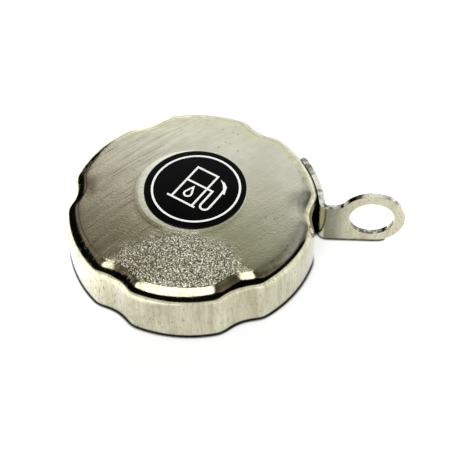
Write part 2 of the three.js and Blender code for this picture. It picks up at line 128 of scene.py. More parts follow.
SEAL_PLATE_Z = 6.5
SEAL_PLATE_TOP = 7.7
SEAL_PLATE_R = 37.6
GASKET_IN_R = 27
GASKET_OUT_R = 36.5
GASKET_T = 2
ORING_WIRE_R = 0.9
THRUST_T = 0.8
THRUST_TOP = SEAL_PLATE_TOP + THRUST_T
MAIN_SPRING_R = 25
MAIN_WIRE = 1.4
SPRING_SEAT_T = 0.5

RELIEF_R = 7.9
RELIEF_SEAL_T = 0.8
RELIEF_TOP = 8.8
POPPET_HEAD_R = 3.8
POPPET_HEAD_T = 1.2
POPPET_STEM_R = 0.9
POPPET_TOP = 12.4
VACUUM_CLIP_Z = 11.4
VALVE_COVER_Z = 14.4

# ---- Finish ----

FINE = 336  # steps round the shell, four to each of the part's own facets
SATIN_EDGE_R = 39.9  # the brushed top ends here and the polished shoulder begins
BRUSH_DEG = 41  # the brushing's direction from +X
# The patch below is roughened and also carries painted glints.
GRIT_GLINT_AT = (-2, -32)  # the middle of the roughened patch
GRIT_GLINT_HALF = (25, 15)
PRINT_T = 0.03  # height of the print on the badge
PRINT_SINK = 0.02  # how far the print reaches down into the badge
PRINT_TURN = math.radians(-31.1)  # the badge was stuck on turned by this much
PRINT_LINE_W = 0.75
PUMP_AT = (0.03, 0.35)  # the pump's middle, from the cap's axis
THIN_RING_R = 15.4
THIN_RING_X = 0.3  # the thin ring's offset from the badge's middle
SHARP_DEG = 35  # edges sharper than this aren't smoothed over

# ---- Meshes ----


def lerp(a, b, t):
    return a + (b - a) * t


def smoothstep(x, low, high):
    t = min(1, max(0, (x - low) / (high - low)))
    return t * t * (3 - 2 * t)


def make_piece(name, points, faces):
    """An object from points in millimetres, smooth except across its sharp edges."""
    mesh = bpy.data.meshes.new(name)
    mesh.from_pydata([Vector(p) * MM for p in points], [], faces)
    work = bmesh.new()
    work.from_mesh(mesh)
    bmesh.ops.remove_doubles(work, verts=work.verts, dist=1e-7)
    bmesh.ops.recalc_face_normals(work, faces=work.faces)
    work.to_mesh(mesh)
    work.free()
    piece = bpy.data.objects.new(name, mesh)
    bpy.context.scene.collection.objects.link(piece)
    shade(piece)
    return piece


def shade(piece):
    piece.data.shade_smooth()
    piece.data.set_sharp_from_angle(angle=math.radians(SHARP_DEG))


def move(piece, x, y):
    """Moves the piece's mesh sideways, in millimetres."""
    piece.data.transform(Matrix.Translation((x * MM, y * MM, 0)))
    return piece


def settle(piece):
    """Applies the piece's modifiers."""
    evaluated = piece.evaluated_get(bpy.context.evaluated_depsgraph_get())
    mesh = bpy.data.meshes.new_from_object(evaluated)
    piece.modifiers.clear()
    old = piece.data
    piece.data = mesh
    bpy.data.meshes.remove(old)
    mesh.name = piece.name
    shade(piece)


def combine(piece, others, operation):
    """Cuts the other pieces out of this one, or joins them to it, and removes them."""
    for other in others:
        step = piece.modifiers.new(operation, "BOOLEAN")
        step.operation = operation
        step.solver = "EXACT"
        step.object = other
        settle(piece)
        bpy.data.objects.remove(other)
    return piece


def soften_edges(piece, width, segments=2):
    """Breaks the piece's sharp edges."""
    bevel = piece.modifiers.new("edges", "BEVEL")
    bevel.width = width * MM
    bevel.segments = segments
    bevel.limit_method = "ANGLE"
    bevel.angle_limit = math.radians(40)
    bevel.use_clamp_overlap = True
    settle(piece)
    weighted = piece.modifiers.new("normals", "WEIGHTED_NORMAL")
    weighted.keep_sharp = True
    return piece


def rounded(profile, radius, closed):
    """The profile with each corner replaced by a small arc."""
    steps = 3
    count = len(profile)
    result = []
    for i, corner in enumerate(profile):
        if not closed and i in (0, count - 1):
            result.append(corner)
            continue
        here = Vector(corner)
        before = Vector(profile[i - 1]) - here
        after = Vector(profile[(i + 1) % count]) - here
        bend = before.angle(after)
        reach = min(radius / math.tan(bend / 2), 0.45 * before.length, 0.45 * after.length)
        if math.pi - bend < 0.1 or reach < 1e-3:
            result.append(corner)
            continue
        start = here + before.normalized() * reach
        end = here + after.normalized() * reach
        for k in range(steps + 1):
            t = k / steps
            point = start * (1 - t) ** 2 + here * 2 * t * (1 - t) + end * t**2
            result.append((point.x, point.y))
    return result


def revolve(name, profile, segments=96, edge=0.12, shape=None):
    """A turned piece from [radius, z] points. Shape may move each point, given its turn."""
    closed = all(r > 1e-6 for r, _ in profile)
    if edge:
        profile = rounded(profile, edge, closed)
    points, rows = [], []
    for r, z in profile:
        if r <= 1e-6:
            rows.append([len(points)] * segments)
            points.append((0, 0, z))
            continue
        rows.append(range(len(points), len(points) + segments))
        for i in range(segments):
            turn = 2 * math.pi * i / segments
            reach = shape(r, turn) if shape else r
            points.append((reach * math.cos(turn), reach * math.sin(turn), z))
    faces = []
    for i in range(len(rows) if closed else len(rows) - 1):
        low, high = rows[i], rows[(i + 1) % len(rows)]
        for k in range(segments):
            n = (k + 1) % segments
            corners = [low[k], low[n], high[n], high[k]]
            faces.append([c for j, c in enumerate(corners) if c not in corners[:j]])
    return make_piece(name, points, faces)


def washer(name, inner_r, outer_r, z, thickness, **settings):
    top = z + thickness
    profile = [(inner_r, z), (outer_r, z), (outer_r, top), (inner_r, top)]
    return revolve(name, profile, **settings)


def disc(name, radius, z, thickness, **settings):
    return washer(name, 0, radius, z, thickness, **settings)


def prism(name, outline, z, thickness):
    """A flat outline of [x, y] points, raised from z."""
    count = len(outline)
    points = [(x, y, z) for x, y in outline] + [(x, y, z + thickness) for x, y in outline]
    sides = [(i, (i + 1) % count, (i + 1) % count + count, i + count) for i in range(count)]
    ends = [tuple(range(count)), tuple(range(count, 2 * count))]
    return make_piece(name, points, sides + ends)


def arc(centre, radius, start, end, steps):
    """Points on an arc in the plane, both ends included. Angles are radians."""
    turns = [lerp(start, end, i / steps) for i in range(steps + 1)]
    return [(centre[0] + radius * math.cos(t), centre[1] + radius * math.sin(t)) for t in turns]


def cut_out(piece, places, make_bit):
    """Cuts the shape that make_bit makes out of the piece at each place."""
    return combine(piece, [move(make_bit(), x, y) for x, y in places], "DIFFERENCE")


def drill(piece, radius, places):
    """Cuts a hole right through the piece at each place."""
    return cut_out(piece, places, lambda: disc("bit", radius, -5, 40, segments=32, edge=0))


def round_circle(count, radius, start_deg=0):
    turns = [math.radians(start_deg) + 2 * math.pi * i / count for i in range(count)]
    return [(radius * math.cos(t), radius * math.sin(t)) for t in turns]


def tube(name, line, wire_r):
    """A round wire along a line, with closed ends."""
    sides = 12
    points, faces = [], []
    line = [Vector(p) for p in line]
    for i, centre in enumerate(line):
        along = (line[min(i + 1, len(line) - 1)] - line[max(i - 1, 0)]).normalized()
        out = Vector((centre.x, centre.y, 0)).normalized()
        up = along.cross(out).normalized()
        out = up.cross(along)
        for k in range(sides):
            turn = 2 * math.pi * k / sides
            points.append(centre + (out * math.cos(turn) + up * math.sin(turn)) * wire_r)
    for i in range(len(line) - 1):
        for k in range(sides):
            n = (k + 1) % sides
            low, high = i * sides, (i + 1) * sides
            faces.append((low + k, low + n, high + n, high + k))
    faces.append(tuple(range(sides)))
    faces.append(tuple(range(len(points) - sides, len(points))))
    return make_piece(name, points, faces)


def spring(name, radius, wire, bottom, top, turns):
    """A compression spring about the Z axis with closed end coils."""
    end_turns = 0.75
    end_rise = end_turns * wire * 1.06
    low, high = bottom + wire / 2, top - wire / 2
    steps = round(turns * 48)
    line = []
    for i in range(steps + 1):
        turn = turns * i / steps
        if turn < end_turns:
            z = low + end_rise * turn / end_turns
        elif turn > turns - end_turns:
            z = high - end_rise * (turns - turn) / end_turns
        else:
            active = (turn - end_turns) / (turns - 2 * end_turns)
            z = low + end_rise + (high - low - 2 * end_rise) * active
        angle = 2 * math.pi * turn
        line.append((radius * math.cos(angle), radius * math.sin(angle), z))
    return tube(name, line, wire / 2)


# ---- Node trees ----

WHITE = (1, 1, 1, 1)


class Tree:
    """Short ways to add nodes to one material's or world's tree."""

    def __init__(self, owner):
        owner.use_nodes = True
        self.owner = owner
        self.nodes = owner.node_tree.nodes
        self.links = owner.node_tree.links
        self.nodes.clear()

    def add(self, kind, inputs=(), **settings):
        node = self.nodes.new(kind)
        for key, value in settings.items():
            setattr(node, key, value)
        for key, value in dict(inputs).items():
            self.put(value, node.inputs[key])
        return node

    def put(self, value, socket):
        if isinstance(value, bpy.types.NodeSocket):
            self.links.new(value, socket)
        else:
            socket.default_value = value

    def math(self, operation, a, b=0.0):
        return self.add("ShaderNodeMath", {0: a, 1: b}, operation=operation).outputs[0]

    def plus(self, a, b):
        return self.math("ADD", a, b)

    def minus(self, a, b):
        return self.math("SUBTRACT", a, b)

    def times(self, a, b):
        return self.math("MULTIPLY", a, b)

    def over(self, a, b):
        return self.math("DIVIDE", a, b)

    def vector(self, operation, a, b):
        return self.add("ShaderNodeVectorMath", {0: a, 1: b}, operation=operation).outputs[0]

    def split(self, vector):
        return self.add("ShaderNodeSeparateXYZ", {0: vector}).outputs

    def join(self, x, y, z):
        return self.add("ShaderNodeCombineXYZ", {0: x, 1: y, 2: z}).outputs[0]

    def step(self, value, low, high, to_low=0.0, to_high=1.0):
        """Goes smoothly from to_low to to_high as the value goes from low to high."""
        if low > high:
            low, high, to_low, to_high = high, low, to_high, to_low
        inputs = {"Value": value, 1: low, 2: high, 3: to_low, 4: to_high}
        node = self.add("ShaderNodeMapRange", inputs, interpolation_type="SMOOTHSTEP")
        return node.outputs[0]

    def noise(self, scale, detail=2.0, roughness=0.5, at=None, shift=None):
        """Noise at the tree's own place or at another one, shifted so that it isn't the same."""
        at = at or self.place
        if shift:
            at = self.vector("ADD", at, shift)
        inputs = {"Vector": at, "Scale": scale, "Detail": detail, "Roughness": roughness}
        return self.add("ShaderNodeTexNoise", inputs).outputs[0]

    def mix(self, share, a, b, blend="MIX"):
        node = self.add("ShaderNodeMix", data_type="RGBA", blend_type=blend)
        self.put(share, node.inputs[0])
        self.put(a, node.inputs[6])
        self.put(b, node.inputs[7])
        return node.outputs[2]

    def bump(self, height, distance, normal=None):
        """Distance is in millimetres."""
        inputs = {"Height": height, "Distance": distance * MM, "Strength": 1.0}
        if normal:
            inputs["Normal"] = normal
        return self.add("ShaderNodeBump", inputs).outputs[0]

    def attribute(self, name):
        return self.add("ShaderNodeAttribute", attribute_name=name).outputs["Fac"]


def start_material(name):
    """A new material's tree, with the place on the piece in millimetres."""
    tree = Tree(bpy.data.materials.new(name))
    place = tree.add("ShaderNodeTexCoord").outputs["Object"]
    tree.place = tree.vector("MULTIPLY", place, (1000, 1000, 1000))
    tree.x, tree.y, tree.z = tree.split(tree.place)
    return tree


def finish_material(tree, look, rough, normal, more):
    """Gives the tree its shader. More holds further inputs by name. Returns the material."""
    inputs = {"Base Color": look, "Roughness": rough, "Normal": normal, **more}
    shader = tree.add("ShaderNodeBsdfPrincipled", inputs)
    output = tree.add("ShaderNodeOutputMaterial")
    tree.links.new(shader.outputs[0], output.inputs[0])
    return tree.owner


# ---- Worn stainless steel ----


def grit_and_glint_patch(tree):
    """Where the satin top is roughened and given painted glints: an oval with a ragged edge."""
    off = tree.times(tree.noise(0.12, 3, 0.6, shift=(70, 5, 0)), 0.9)
    for value, middle, half in zip((tree.x, tree.y), GRIT_GLINT_AT, GRIT_GLINT_HALF):
        share = tree.over(tree.minus(value, middle), half)
        off = tree.plus(off, tree.times(share, share))
    return tree.step(off, 0.75, 1.5, 1.0, 0.0)


def drawn_out(tree, length, width, detail, shift):
    """Noise drawn out along the brushing. The length and width of its marks are millimetres."""
    cosine, sine = math.cos(math.radians(BRUSH_DEG)), math.sin(math.radians(BRUSH_DEG))
    along = tree.plus(tree.times(tree.x, cosine), tree.times(tree.y, sine))
    across = tree.plus(tree.times(tree.x, -sine), tree.times(tree.y, cosine))
    marks = tree.join(tree.over(along, length), tree.over(across, width), tree.times(tree.z, 0.3))
    return tree.noise(1.0, detail, 0.6, at=marks, shift=(shift, shift / 2, 0))


def brushed_colour(tree, clouds, hairlines, leftward):
    """Cloudy steel with hairlines, mottle, and long streaks that are stronger at the left."""
    streaks = drawn_out(tree, 34, 3.2, 3, 3)
    streaked = tree.times(tree.step(streaks, 0.42, 0.66), tree.step(leftward, 0, 1, 0.12, 0.40))
    mottle = tree.noise(0.28, 4, 0.65, shift=(12, 50, 3))
    colour = tree.mix(tree.step(clouds, 0.36, 0.66), (0.60, 0.575, 0.43, 1), (0.70, 0.675, 0.51, 1))
    colour = tree.mix(streaked, colour, (0.42, 0.35, 0.26, 1))
    colour = tree.mix(tree.step(hairlines, 0.45, 0.72, 0.0, 0.20), colour, (0.36, 0.33, 0.24, 1))
    colour = tree.mix(tree.step(hairlines, 0.42, 0.25, 0.0, 0.25), colour, (0.85, 0.83, 0.70, 1))
    return tree.mix(tree.step(mottle, 0.40, 0.62, 0.0, 0.22), colour, (0.50, 0.50, 0.36, 1))


def painted_glints(tree, colour, share):
    """Painted glints: small dark and bright dots painted into the colour where the share is set."""
    dots = tree.noise(1.85, 1, 0.5, shift=(3, 3, 60))
    dark = tree.times(share, tree.step(dots, 0.51, 0.42, 0.0, 0.9))
    bright = tree.times(share, tree.step(dots, 0.55, 0.62, 0.0, 1.0))
    colour = tree.mix(dark, colour, (0.10, 0.07, 0.035, 1))
    return tree.mix(bright, colour, (1.0, 1.0, 0.92, 1))


def deep_marks(tree, leftward):
    """Long scores at the left of the cap, and small pits."""
    patches = tree.noise(0.05, 2, 0.5, shift=(90, 40, 0))
    scored = tree.step(drawn_out(tree, 20, 0.42, 1, 21), 0.63, 0.66)
    scored = tree.times(tree.times(scored, leftward), tree.step(patches, 0.42, 0.55))
    flecks = tree.noise(0.75, 3, 0.6, shift=(31, 0, 9))
    specks = tree.times(tree.step(flecks, 0.64, 0.70), tree.step(patches, 0.42, 0.60))
    return scored, specks


def stained(tree, colour, runs_place, polish):
    """Run stains, pale patches and rust specks on the polished sides."""
    drip = tree.noise(0.33, 5, 0.72, at=runs_place, shift=(5, 8, 2))
    dark = tree.times(tree.step(drip, 0.46, 0.64), tree.times(polish, 0.55))
    colour = tree.mix(dark, colour, (0.36, 0.31, 0.20, 1))
    pale = tree.times(tree.step(drip, 0.46, 0.34), tree.times(polish, 0.4))
    colour = tree.mix(pale, colour, (0.82, 0.80, 0.66, 1))
    rust = tree.noise(1.3, 3, 0.7, at=tree.vector("MULTIPLY", tree.place, (1, 1, 0.45)))
    rust = tree.times(tree.step(rust, 0.60, 0.66), polish)
    return tree.mix(tree.times(rust, 0.6), colour, (0.20, 0.14, 0.07, 1))


def strip_edges(tree, colour):
    """Mottles the strip's cut edges with shear marks and painted dark and bright reflections, and
    paints shade on its plate towards the bend.
    """
    facing = tree.split(tree.add("ShaderNodeNewGeometry").outputs["Normal"])
    plate_cut = tree.step(tree.math("ABSOLUTE", facing[1]), 0.75, 0.45)
    band_cut = tree.step(tree.math("ABSOLUTE", facing[2]), 0.5, 0.8)
    cut = tree.mix(tree.step(tree.x, BEND_X, BEND_X + 2), band_cut, plate_cut)
    # Cut-edge mottle: partly shear marks, partly painted dark and bright reflections.
    shear_and_painted_reflection = tree.noise(0.17, 3, 0.7, shift=(8, 0, 40))
    shear_and_painted_reflection = tree.mix(tree.step(shear_and_painted_reflection, 0.42, 0.58), (0.12, 0.10, 0.07, 1), (0.95, 0.93, 0.80, 1))
    # Painted shade: the plate darker towards the bend.
    shaded = tree.step(tree.x, BEND_X, BEND_X + 9, 0.38, 0.84)
    shaded = tree.math("MAXIMUM", shaded, tree.step(tree.x, BEND_X - 0.6, BEND_X - 1.6))
    colour = tree.mix(1.0, colour, shaded, "MULTIPLY")
    return tree.mix(tree.times(cut, 0.85), colour, shear_and_painted_reflection)


def shell_edges(tree, colour, polish, grain):
    """Paints shade along the shell's lower edge, and a painted highlight round its raised centre."""
    # Painted shade: the polished side goes near black over its lowest 1.5 mm, where the contact shadow
    # falls.
    painted_edge_shade = tree.times(tree.step(tree.z, 0.9, 1.5, 0.97, 0.0), polish)
    colour = tree.mix(painted_edge_shade, colour, (0.015, 0.013, 0.01, 1))
    # Painted highlight: a pale ring round the raised centre, where the rim attribute is set.
    painted_halo = tree.times(tree.attribute("rim"), tree.step(grain, 0.25, 0.6, 1.0, 0.75))
    return tree.mix(painted_halo, colour, (0.95, 0.93, 0.76, 1))


def shell_steel(name, strip):
    """Worn stainless steel: brushed and grained where it is satin, else polished."""
    tree = start_material(name)
    if strip:
        satin = tree.step(tree.noise(0.35), 0.3, 0.6, 0.15, 0.45)
        # The strip's satin gets a little bump grain and faint painted glints all over.
        grit_and_glints = 0.15
    else:
        satin = tree.attribute("satin")
        grit_and_glints = grit_and_glint_patch(tree)
    polish = tree.minus(1.0, satin)
    leftward = tree.step(tree.x, 12, -18)
    clouds = tree.noise(0.055, 4, 0.6)
    grain = tree.noise(1.2, 2, 0.75)
    hairlines = drawn_out(tree, 16, 0.30, 4, 7)
    scored, specks = deep_marks(tree, leftward)
    runs_place = tree.vector("MULTIPLY", tree.place, (1, 1, 0.14))

    brown = (0.13, 0.09, 0.045, 1)
    colour = brushed_colour(tree, clouds, hairlines, leftward)
    colour = tree.mix(tree.times(polish, 0.75), colour, (0.56, 0.545, 0.40, 1))
    # Painted glints over the roughened patch of the satin top.
    colour = painted_glints(tree, colour, tree.times(grit_and_glints, satin))
    colour = tree.mix(tree.times(scored, 0.7), colour, brown)
    colour = tree.mix(tree.times(specks, 0.55), colour, brown)
    colour = stained(tree, colour, runs_place, polish)
    if strip:
        colour = strip_edges(tree, colour)
    else:
        colour = shell_edges(tree, colour, polish, grain)

    rough = tree.step(satin, 0.0, 1.0, 0.06, 0.19)
    rough = tree.plus(rough, tree.step(clouds, 0.3, 0.7, -0.02, 0.04))
    rough = tree.plus(rough, tree.step(hairlines, 0.4, 0.7, 0.0, 0.05))

    soft = tree.step(tree.times(satin, satin), 0.0, 1.0, 0.04, 1.0)
    normal = tree.bump(tree.times(grain, tree.times(soft, tree.plus(0.28, grit_and_glints))), 0.30)
    normal = tree.bump(tree.times(hairlines, satin), 0.012, normal)
    runs = tree.noise(0.9, 4, 0.65, at=runs_place)
    normal = tree.bump(tree.times(runs, polish), 0.012, normal)
    normal = tree.bump(tree.plus(scored, specks), -0.012, normal)
    return finish_material(tree, colour, rough, normal, {"Metallic": 1.0})


# ---- Other materials ----


def turned_metal(name, colour, dark, roughness, ring_depth):
    """Metal with fine turning rings, cloudy tarnish and small pits."""
    tree = start_material(name)
    reach = tree.plus(tree.times(tree.x, tree.x), tree.times(tree.y, tree.y))
    reach = tree.math("SQRT", reach)
    rings = tree.noise(3.5, 3, 0.7, at=tree.join(reach, tree.z, 0.0))
    clouds = tree.noise(0.16, 4, 0.6)
    pits = tree.step(tree.noise(1.4, 2, 0.5), 0.66, 0.74)
    look = tree.mix(tree.step(clouds, 0.35, 0.7, 0.0, 0.5), colour, dark)
    look = tree.mix(tree.step(rings, 0.4, 0.7, 0.0, 0.2), look, dark)
    look = tree.mix(tree.times(pits, 0.6), look, dark)
    rough = tree.plus(tree.step(clouds, 0.3, 0.7, -0.05, 0.1), roughness)
    normal = tree.bump(pits, -0.02, tree.bump(rings, ring_depth))
    return finish_material(tree, look, rough, normal, {"Metallic": 1.0})


def moulded(name, colour, pale, roughness, grain_mm, depth, metallic=0.0):
    """Rubber, film or sintered metal: a fine grain with dusty pale patches."""
    tree = start_material(name)
    grain = tree.noise(1 / grain_mm, 3, 0.65)
    clouds = tree.noise(0.2, 3, 0.6)
    dust = tree.times(tree.step(clouds, 0.4, 0.75), tree.step(grain, 0.3, 0.7))
    look = tree.mix(tree.times(dust, 0.7), colour, pale)
    rough = tree.plus(tree.step(clouds, 0.3, 0.7, -0.08, 0.08), roughness)
    return finish_material(tree, look, rough, tree.bump(grain, depth), {"Metallic": metallic})


def badge_black(name):
    """Dull black badge with faint rub marks, shallow waves and dust."""
    tree = start_material(name)
    rub = tree.noise(1.2, 3, 0.6, at=tree.vector("MULTIPLY", tree.place, (0.25, 1.6, 1)))
    clouds = tree.noise(0.12, 3, 0.6)
    dust = tree.step(tree.noise(2.2, 2, 0.5), 0.68, 0.76)
    faded = tree.step(clouds, 0.4, 0.7, 0.0, 0.6)
    look = tree.mix(faded, (0.0015, 0.0015, 0.002, 1), (0.005, 0.005, 0.006, 1))
    look = tree.mix(tree.times(dust, 0.12), look, (0.2, 0.19, 0.17, 1))
    rough = tree.plus(tree.step(clouds, 0.3, 0.7, 0.20, 0.34), tree.step(rub, 0.5, 0.7, 0.0, 0.1))
    normal = tree.bump(tree.noise(0.5, 2, 0.5), 0.02)
    return finish_material(tree, look, rough, normal, {"Specular IOR Level": 0.05})


def badge_white(name):
    """Off-white print with slightly worn, uneven ink, which also glows a little as painted light."""
    tree = start_material(name)
    ink = tree.noise(1.6, 3, 0.6)
    worn = tree.step(tree.noise(3.5, 2, 0.6), 0.66, 0.74)
    uneven = tree.step(ink, 0.4, 0.7, 0.0, 0.5)
    look = tree.mix(uneven, (0.92, 0.92, 0.90, 1), (0.82, 0.82, 0.79, 1))
    look = tree.mix(tree.times(worn, 0.35), look, (0.25, 0.25, 0.24, 1))
    rough = tree.step(ink, 0.3, 0.7, 0.35, 0.5)
    # Painted light: the print glows so that it reads whiter.
    glow = {"Emission Color": look, "Emission Strength": 0.55}
    return finish_material(tree, look, rough, tree.bump(ink, 0.006), glow)


# Each material's maker and its settings.
RECIPES = {
    "shell_steel": (shell_steel, False),
    "eye_steel": (shell_steel, True),
    "inner_steel": (turned_metal, (0.55, 0.55, 0.52, 1), (0.33, 0.31, 0.26, 1), 0.36, 0.004),
    "spring_steel": (turned_metal, (0.42, 0.42, 0.42, 1), (0.22, 0.21, 0.2, 1), 0.3, 0.003),
    "hub_aluminium": (turned_metal, (0.74, 0.75, 0.76, 1), (0.5, 0.5, 0.5, 1), 0.34, 0.010),
    "brass": (turned_metal, (0.72, 0.52, 0.22, 1), (0.36, 0.23, 0.09, 1), 0.3, 0.008),
    "sintered_bronze": (
        moulded, (0.36, 0.2, 0.09, 1), (0.55, 0.36, 0.19, 1), 0.6, 0.25, 0.09, 0.9
    ),
    "rubber": (moulded, (0.012, 0.012, 0.013, 1), (0.06, 0.058, 0.054, 1), 0.62, 0.3, 0.02),
    "adhesive_film": (moulded, (0.02, 0.02, 0.021, 1), (0.07, 0.07, 0.07, 1), 0.6, 0.4, 0.01),
    "badge_black": (badge_black,),
    "badge_white": (badge_white,),
}
LOOKS = {name: make(name, *settings) for name, (make, *settings) in RECIPES.items()}


def fit(piece, body, slot, node=None, look=None):
    """Gives a piece its material, by look or else by slot, attaches it to its body, and hides the node
    that it stands for.
    """
    piece.data.materials.clear()
    piece.data.materials.append(LOOKS[look or slot])
    if node:
        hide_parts(node)
    if body:
        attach(piece, body)
    return piece


# ---- Shell ----


def plan_radius(turn):
    """Radius of the shell's plan: the circle, softly taken in at each valley."""
    pitch = 2 * math.pi / VALLEYS
    turns = (turn - math.radians(VALLEY_DEG)) / pitch
    off = (turns - round(turns)) * pitch
    reach = VALLEY_R**2 - (VALLEY_CENTRE_R * math.sin(off)) ** 2
    if reach <= 0:
        return CAP_R
    valley = VALLEY_CENTRE_R * math.cos(off) - math.sqrt(reach)
    k = VALLEY_BLEND
    return CAP_R - k * math.log(1 + math.exp((CAP_R - valley) / k))


def pressed(r, turn):
    """A shell point's radius once the finger valleys are pressed in."""
    return r - (CAP_R - plan_radius(turn)) * smoothstep(r, PRESS_FROM_R, PRESS_FULL_R)


def dome_z(r, offset=0.0):
    return DOME_CENTRE_Z + math.sqrt((DOME_R - offset) ** 2 - r**2)


def shell_face(offset, lower_edge):
    """One face of the shell, from just above its lower edge to the axis."""
    dome_turn = math.pi / 2 - DOME_SLOPE
    shoulder = (CAP_R - SHOULDER_R, SKIRT_H)
    ease = (EASE_CENTRE_R, EASE_CENTRE_Z)
    face = [(CAP_R - offset, lerp(lower_edge, SKIRT_H, i / 8)) for i in range(8)]
    face += arc(shoulder, SHOULDER_R - offset, 0, SHOULDER_TURN, 20)
    face += arc(ease, EASE_R - offset, SHOULDER_TURN, dome_turn, 8)[1:]
    edge_r = face[-1][0]
    foot_r = BOSS_R - offset / 2 + BOSS_STEP / 2
    face += [(r, dome_z(r, offset)) for r in (lerp(edge_r, foot_r, i / 12) for i in range(1, 12))]
    foot = dome_z(BOSS_R + BOSS_STEP / 2, offset)
    for i in range(13):
        across = math.cos(math.pi * i / 12)
        r = BOSS_R - offset / 2 + BOSS_STEP / 2 * across
        face.append((r, lerp(BOSS_TOP - offset, foot, (1 + across) / 2)))
    face += [(r, BOSS_TOP - offset) for r in (16, 12, 8, 4, 1.5, 0)]
    return face


def outer_shell():
    lip = SHEET / 2 - 0.02
    outer_face = shell_face(0, lip)
    inner_face = shell_face(SHEET, lip)
    rolled = arc((CAP_R - SHEET / 2, lip), lip, 2 * math.pi, math.pi, 8)
    profile = outer_face[::-1] + rolled[1:-1] + inner_face
    piece = revolve("shell_pressing", profile, segments=FINE, edge=0, shape=pressed)
    satin = piece.data.attributes.new("satin", "FLOAT", "POINT")
    # The rim attribute marks where the painted highlight goes round the raised centre.
    rim = piece.data.attributes.new("rim", "FLOAT", "POINT")
    for i, vertex in enumerate(piece.data.vertices):
        x, y, z = vertex.co / MM
        r = math.hypot(x, y)
        reach = r + (CAP_R - plan_radius(math.atan2(y, x)))
        across = (vertex.normal.x * x + vertex.normal.y * y) / max(r, 0.1)
        outside = across + vertex.normal.z > 0
        edge = 1 - smoothstep(reach, SATIN_EDGE_R - 0.5, SATIN_EDGE_R + 0.4)
        satin.data[i].value = edge if outside else 0.7
        rim.data[i].value = 1 - smoothstep(r, BOSS_R + 0.1, BOSS_R + 0.6) if outside else 0.0
    return piece


fit(outer_shell(), "cap", "shell_steel", "outer_shell")

# ---- Badge ----

adhesive_top = BOSS_TOP + ADHESIVE_T
badge_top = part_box("badge_plate")[1].z / MM - PRINT_T
print_z = badge_top - PRINT_SINK
film = disc("badge_film", BADGE_R - 0.5, BOSS_TOP, ADHESIVE_T, segments=128, edge=0.03)
fit(move(film, BADGE_X, BADGE_Y), "cap", "adhesive_film", "badge_adhesive")
plate = disc("badge_disc", BADGE_R, adhesive_top, badge_top - adhesive_top, segments=192, edge=0.14)
fit(move(plate, BADGE_X, BADGE_Y), "cap", "badge_black", "badge_plate")


def stroke(name, line, closed=False, width=PRINT_LINE_W):
    """A line of [x, y] points as a flat band of even width, mitred at its corners."""
    count = len(line)
    left, right = [], []
    for i, point in enumerate(line):
        here = Vector(point)
        ahead = Vector(line[(i + 1) % count]) - here
        behind = here - Vector(line[i - 1])
        if not closed and i == 0:
            behind = ahead
        if not closed and i == count - 1:
            ahead = behind
        normal = (ahead.normalized() + behind.normalized()).normalized().orthogonal()
        spread = width / 2 / max(0.5, normal.dot(behind.normalized().orthogonal()))
        left.append(here + normal * spread)
        right.append(here - normal * spread)
    points = []
    for z in (print_z, badge_top + PRINT_T):
        points += [(p.x, p.y, z) for p in left] + [(p.x, p.y, z) for p in right]
    faces = []
    for i in range(count if closed else count - 1):
        n = (i + 1) % count
        (a, b), (c, d), (e, f), (g, h) = [(i + k * count, n + k * count) for k in range(4)]
        faces += [(a, b, d, c), (e, f, h, g), (a, b, f, e), (c, d, h, g)]
    if not closed:
        for i in (0, count - 1):
            faces.append((i, i + count, i + 3 * count, i + 2 * count))
    return make_piece(name, points, faces)


def drop_outline():
    """A fuel drop: a round bottom that narrows to a point."""
    x, tip_y, round_y, round_r = 0.45, 1.15, -2.35, 1.35
    waist_x, waist_y = 0.72, -0.55
    outline = [(x, tip_y), (x + waist_x, waist_y)]
    outline += arc((x, round_y), round_r, math.radians(28), math.radians(-208), 18)
    outline.append((x - waist_x, waist_y))
    return outline


def pump_print():
    """A fuel pump with its hose and nozzle, and a drop on its lower panel."""
    left, right, foot, shelf, top = -3.7, 4.9, -6.4, 3.0, 9.8
    hose_x, bow_y, bow_r = 7.2, -4.0, 1.65
    panel = stroke("panel", [(left, foot), (right, foot), (right, top), (left, top)], True)
    base = stroke("base", [(-5.5, foot), (6.1, foot)])
    bar = stroke("shelf", [(left, shelf), (hose_x + PRINT_LINE_W / 2, shelf)])
    hose_line = [(hose_x, shelf), (hose_x, bow_y)]
    hose_line += arc((hose_x + bow_r, bow_y), bow_r, math.pi, 2 * math.pi, 16)[1:]
    hose_line += [(10.5, -1.5), (10.5, 1.0), (10.45, 2.6), (10.3, 4.4)]
    hose = stroke("hose", hose_line)
    nozzle_line = [(6.5, 9.1), (8.5, 8.7), (10.3, 7.3), (11.5, 4.0), (10.0, 4.2), (9.7, 5.9)]
    nozzle_line.append((8.4, 7.6))
    nozzle = prism("nozzle", nozzle_line, print_z, PRINT_T + PRINT_SINK)
    drop = stroke("drop", drop_outline(), True, width=0.68)
    return combine(panel, [base, bar, hose, nozzle, drop], "UNION")


pump = pump_print()
pump.data.transform(Matrix.Rotation(PRINT_TURN, 4, "Z"))
pump.name = "badge_pump_print"
fit(move(pump, *PUMP_AT), "cap", "badge_black", look="badge_white")
ring_radii = [THIN_RING_R + side * PRINT_LINE_W / 2 for side in (-1, 1)]
print_t = PRINT_T + PRINT_SINK
ring = washer("badge_ring_print", *ring_radii, print_z, print_t, segments=192, edge=0)
fit(move(ring, BADGE_X + THIN_RING_X, BADGE_Y), "cap", "badge_black", look="badge_white")

# ---- Eye strap ----

BEND_ANGLE = math.atan2(BEND_Y, BEND_X)
JOIN_X = BEND_X + 1  # where the band's grid meets the plate's
BAND_ROWS = 8
PLATE_LAYERS = 5  # from the eye's hole out to its edge


